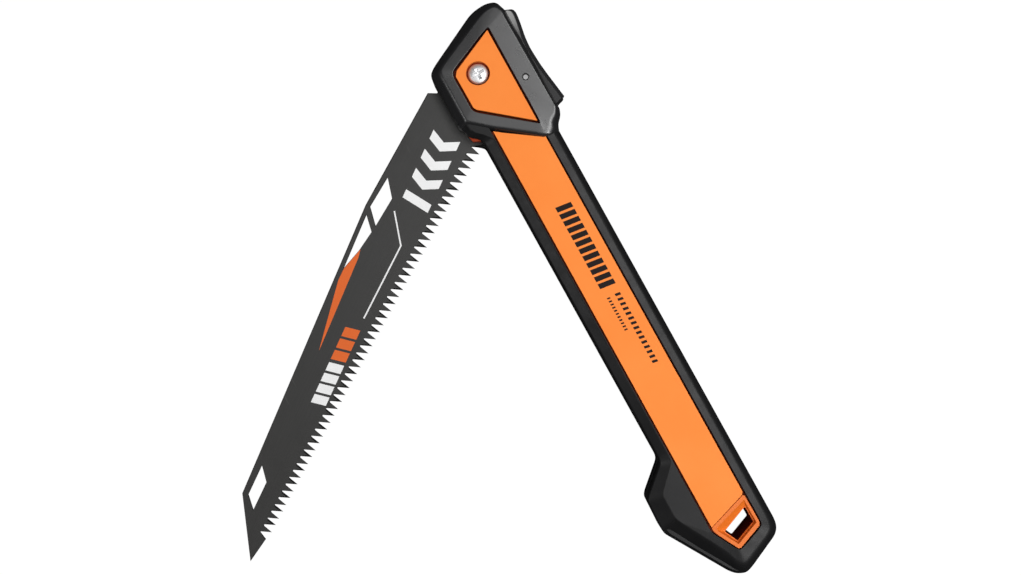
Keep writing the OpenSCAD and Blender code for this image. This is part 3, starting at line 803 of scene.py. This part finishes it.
# The back stands a little further out than the solid's, and the gullets between the teeth are
# a little deeper in their middle.
back_out, gullet_deeper = 0.35, 0.24
rim = rings[0]
rim[:, 1] -= np.where((rim[:, 1] < -15) & (rim[:, 0] > 14), back_out, 0)
floors = tooth_points(rim)[1:] + 1
middles = (rim[floors] + rim[floors + 1]) / 2 - np.array([0, gullet_deeper])
rim = np.insert(rim, floors + 1, middles, axis=0)
rings[0] = rim
tips = tooth_points(rim)
fine_edge, back_edge, ground = 0.1, 0.4, 0.52
trailing = 1.15                          # the flank behind a point is ground this much wider
point_height, flank_height = 0.14 - blade_half, -0.1
on_back = (rim[:, 1] < -12) & (np.roll(rim, -1, 0)[:, 1] < -12)
thick, low_edge = [], []
for side in (0, 1):
    facing = tips[side::2]
    width = np.full(len(rim), fine_edge)
    width[on_back] = back_edge
    width[facing] = ground
    width[facing - 1] = ground * trailing
    thick.append(width)
    edge = np.full(len(rim), blade_half - fine_edge)
    edge[facing] = point_height
    edge[(facing + 1) % len(rim)] = flank_height
    edge[facing - 1] = flank_height
    low_edge.append(edge)
# Four layers from the front face to the rear face: flat, edge, edge, flat.
layers = [(inset(rim, thick[0]), np.full(len(rim), blade_half)), (rim, low_edge[0]),
          (rim, -low_edge[1]), (inset(rim, thick[1]), np.full(len(rim), -blade_half))]
hole_edge = 0.12
hole_heights = (blade_half, blade_half - hole_edge, hole_edge - blade_half, -blade_half)
holes = rings[1:]
narrow_holes = [inset(ring, np.full(len(ring), hole_edge)) for ring in holes]
per_layer = sum(len(ring) for ring in rings)
stack, faces, kinds = [], [], []
for level, (plan, height) in enumerate(layers):
    flat = level in (0, 3)
    stack.append(np.column_stack([plan, height]))
    for ring in narrow_holes if flat else holes:
        stack.append(np.column_stack([ring, np.full(len(ring), hole_heights[level])]))
    if flat:
        fill = np.array(flat_polygon([plan] + narrow_holes)) + level * per_layer
        if level == 3:
            fill = fill[:, ::-1]
        faces += [tuple(face) for face in fill]
        kinds += [0] * len(fill)
blade_points = np.concatenate(stack)
start = 0
for ring in rings:
    i = start + np.arange(len(ring))
    k = start + (np.arange(len(ring)) + 1) % len(ring)
    for level in (0, 1, 2):
        a, b = level * per_layer, (level + 1) * per_layer
        faces += [tuple(face) for face in np.stack([i + a, i + b, k + b, k + a], 1)]
        worked = np.zeros(len(ring), int)
        if start == 0 and level != 1:
            worked[thick[level // 2] >= ground] = 1
        kinds += worked.tolist()
    start += len(ring)
blade_points[:, :2] = turned(blade_points[:, :2], rest_angle)
blade_points[:, 2] += middle
saw_plate = new_piece("saw_plate", blade_points, faces, blade_coat, "blade", smooth=False)
saw_plate.data.materials.append(ground_steel)
saw_plate.data.polygons.foreach_set("material_index", kinds)
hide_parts("blade")


# The prints: thin ink laid on the blade and on the grip's orange panel. They are plain slanted
# bars, chevrons and stripes, with no lettering.
def ink(name, colour, roughness):
    """A matt print with a slightly uneven cover."""
    material = bpy.data.materials.new(name)
    material.use_nodes = True
    tree = material.node_tree
    shader = tree.nodes["Principled BSDF"]
    skin = use_group(tree, grain, Grain_Scale=3000)
    thin = tuple(v * 0.9 for v in colour)
    tree.links.new(blend_colours(tree, skin.outputs["Cloud"], thin, colour),
                   shader.inputs["Base Color"])
    shader.inputs["Roughness"].default_value = roughness
    shader.inputs["Specular IOR Level"].default_value = 0.1
    return material


def bar(left, right, low, high, lean):
    """A slanted bar: its top is shifted along X by `lean`."""
    return [(left, low), (right, low), (right + lean, high), (left + lean, high)]


def chevron(left, low, high, stroke, depth):
    """A thick angle bracket that points along +X."""
    half_way = (low + high) / 2
    return [(left, low), (left + stroke, low), (left + stroke + depth, half_way),
            (left + stroke, high), (left, high), (left + depth, half_way)]


def prints(name, shapes, height, material, body, angle=0.0):
    """Each shape as a thin closed layer of ink on a face at a height."""
    sunk, proud, edge = 0.01, 0.03, 0.005
    for number, shape in enumerate(shapes):
        cut_plate(name + "_" + str(number + 1), [shape], height - sunk, height + proud, edge,
                  material, body, angle)


white_ink = ink("white_ink", (0.93, 0.93, 0.93), 0.5)
orange_ink = ink("orange_ink", (0.80, 0.155, 0.035), 0.5)
black_ink = ink("black_ink", (0.016, 0.011, 0.010), 0.6)
blade_face = middle + blade_half
panel_face = middle + grip_face - 0.2
stripe = [(67.3, -9.2), (79.6, -0.5), (114.4, -1.95), (114.4, -1.3), (79.4, 0.15), (66.9, -8.7)]
prints("blade_stripe", [stripe], blade_face, white_ink, "blade", rest_angle)
wedge = [(88.0, -15.3), (91.7, -14.6), (135.2, -13.3), (118.9, -16.0), (104.1, -18.4),
         (98.5, -18.3)]
prints("blade_wedge", [wedge], blade_face, orange_ink, "blade", rest_angle)
marks = [bar(56.5, 60.3, -8.2, 4.4, 1.6)]
marks += [chevron(x, -8.2, 4.4, 4.2, 3.2) for x in (46.4, 37.4, 28.4)]
prints("blade_mark", marks, blade_face, white_ink, "blade", rest_angle)
prints("blade_bar", [bar(x, x + 4.3, -7.3, -0.8, -1.2) for x in (121.0, 126.4, 131.8)],
       blade_face, orange_ink, "blade", rest_angle)
prints("blade_tail", [bar(x, x + 3.9, -7.3, -0.8, -1.2) for x in (137.6, 142.6, 147.6, 152.6)],
       blade_face, white_ink, "blade", rest_angle)
prints("grip_bar", [bar(x, x + 2.3, 1.0, 8.0, 0.9) for x in 65.2 + 3.35 * np.arange(12)],
       panel_face, black_ink, "handle")
prints("grip_dash", [bar(x, x + 1.15, 5.3, 7.7, 0.4) for x in 109.0 + 2.3 * np.arange(15)],
       panel_face, black_ink, "handle")
prints("grip_line", [bar(x, x + 0.7, 1.6, 3.0, 0.2) for x in 109.0 + 1.5 * np.arange(11)],
       panel_face, black_ink, "handle")


# The pivot and the rest of the metalwork: a pan-head screw with a cross recess, a cap nut at the
# rear, a brass bush that the blade turns on, white washers, pins and case screws.
def metal(name, deep, pale, roughness, metallic=1.0):
    """A plated or turned metal with faint clouds and fine marks."""
    material = bpy.data.materials.new(name)
    material.use_nodes = True
    tree = material.node_tree
    shader = tree.nodes["Principled BSDF"]
    skin = use_group(tree, grain, Grain_Scale=900, Cloud_Scale=260)
    rub = use_group(tree, scuff, Amount=0.6)
    tone = blend_colours(tree, skin.outputs["Cloud"], deep, pale)
    tree.links.new(blend_colours(tree, rub.outputs["Mask"], tone,
                                 tuple(v * 0.7 for v in deep)), shader.inputs["Base Color"])
    shader.inputs["Metallic"].default_value = metallic
    tree.links.new(ramp(tree, skin.outputs["Polish"], 0, 1, *roughness),
                   shader.inputs["Roughness"])
    bump = tree.nodes.new("ShaderNodeBump")
    bump.inputs["Strength"].default_value = 0.1
    bump.inputs["Distance"].default_value = 0.00004
    tree.links.new(skin.outputs["Height"], bump.inputs["Height"])
    tree.links.new(bump.outputs["Normal"], shader.inputs["Normal"])
    return material


zinc = metal("zinc_steel", (0.74, 0.74, 0.75), (0.84, 0.84, 0.85), (0.42, 0.52),
             metallic=0.75)
dull_steel = metal("dull_steel", (0.26, 0.26, 0.26), (0.33, 0.33, 0.33), (0.4, 0.5))
brass = metal("bush_brass", (0.70, 0.50, 0.20), (0.80, 0.58, 0.26), (0.25, 0.38))
white_plastic = moulded("white_plastic", (0.78, 0.78, 0.76), (0.84, 0.84, 0.82),
                        (0.7, 0.7, 0.68),
                        roughness=(0.4, 0.5), grain_scale=2400, grain_depth=0.1,
                        specular=0.4, scuffs=0.2)

# The pan head's radius, underside and crown, the cross recess's arm, half width and depth, and
# the shank. Heights are over the middle plane.
head_r, head_low, head_crown = 4.3, 8.1, 10.3
arm, arm_half, recess = 2.6, 0.62, 1.6
shank_r, shank_low, shank_chamfer, pole_r = 2.5, -7.9, 0.3, 0.001
angle = np.linspace(0, 2 * np.pi, 193)[:-1]
quarter = np.abs((angle + np.pi / 4) % (np.pi / 2) - np.pi / 4)
cross = np.minimum(arm / np.cos(quarter), arm_half / np.maximum(np.sin(quarter), 1e-6))


def dome(radius):
    """Height of the pan head at a radius: a flat crown with a rounded shoulder.

    With s the share of the head's radius, it falls by 1.15 s^3.2, and by a further 5 (s - 0.9) s
    over its last tenth.
    """
    share = np.clip(radius / head_r, 0, 1)
    return head_crown - 1.15 * share ** 3.2 - 5 * np.clip(share - 0.9, 0, 1) * share


screw_rings = [(np.full_like(cross, pole_r), np.full_like(cross, head_crown - recess)),
               (cross * 0.45, np.full_like(cross, head_crown - recess + 0.1)),
               (cross * 0.86, head_crown - recess + 0.6 - 0.3 * (1 - cross / arm)),
               (cross * 0.97, dome(cross) - 0.14), (cross + 0.08, dome(cross + 0.08))]
for share in np.linspace(0, 1, 14)[1:]:
    radius = (cross + 0.08) * (1 - share) + head_r * share
    screw_rings.append((radius, dome(radius)))
for radius, height in ((head_r, head_low + 0.12), (head_r - 0.12, head_low),
                       (shank_r, head_low), (shank_r, shank_low),
                       (shank_r - shank_chamfer, shank_low - shank_chamfer),
                       (pole_r, shank_low - shank_chamfer)):
    screw_rings.append((np.full_like(cross, radius), np.full_like(cross, height)))
screw_net = np.array([np.stack([radius * np.cos(angle), radius * np.sin(angle),
                                middle + height], 1) for radius, height in screw_rings])
piece = new_piece("pan_head_screw", screw_net, tube_faces(*screw_net.shape[:2]), zinc, "handle")
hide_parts("pivot_screw")

for name, edge in (("pivot_nut", 0.15), ("case_screws", 0.08), ("lock_tooth", 0.1)):
    machined(name, zinc, edge)
for name, edge in (("spring_washer", 0.06), ("lever_pin", 0.12), ("stop_pin", 0.1)):
    machined(name, dull_steel, edge)
machined("pivot_bush", brass, 0.06)
for name in ("front_washer", "rear_washer"):
    machined(name, white_plastic, 0.05)

# The return spring under the lever's thumb end: a wire wound along +Y. It stands on the pocket's
# floor at one fixed length.
coil_low, coil_high = [np.array(corner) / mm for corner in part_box("lever_spring")]
wire_r, coil_turns, wire_sides = 0.3, 4, 12
coil_r = (coil_high[0] - coil_low[0]) / 2 - wire_r
coil_x, floor, ceiling = (coil_low[0] + coil_high[0]) / 2, coil_low[1], coil_high[1]
t = np.linspace(0, 1, 24 * coil_turns + 1)
climb = t * (ceiling - floor - 2 * wire_r)
wound = 2 * np.pi * coil_turns * t[:, None]
ring = 2 * np.pi * np.arange(wire_sides) / wire_sides
reach = coil_r + wire_r * np.cos(ring)[None]
coil_net = np.stack([coil_x + reach * np.cos(wound),
                     floor + wire_r + climb[:, None] + wire_r * np.sin(ring)[None],
                     middle + reach * np.sin(wound)], 2)
coil = new_piece("return_coil", coil_net, tube_faces(*coil_net.shape[:2]), zinc, "handle")
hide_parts("lever_spring")
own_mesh(coil)
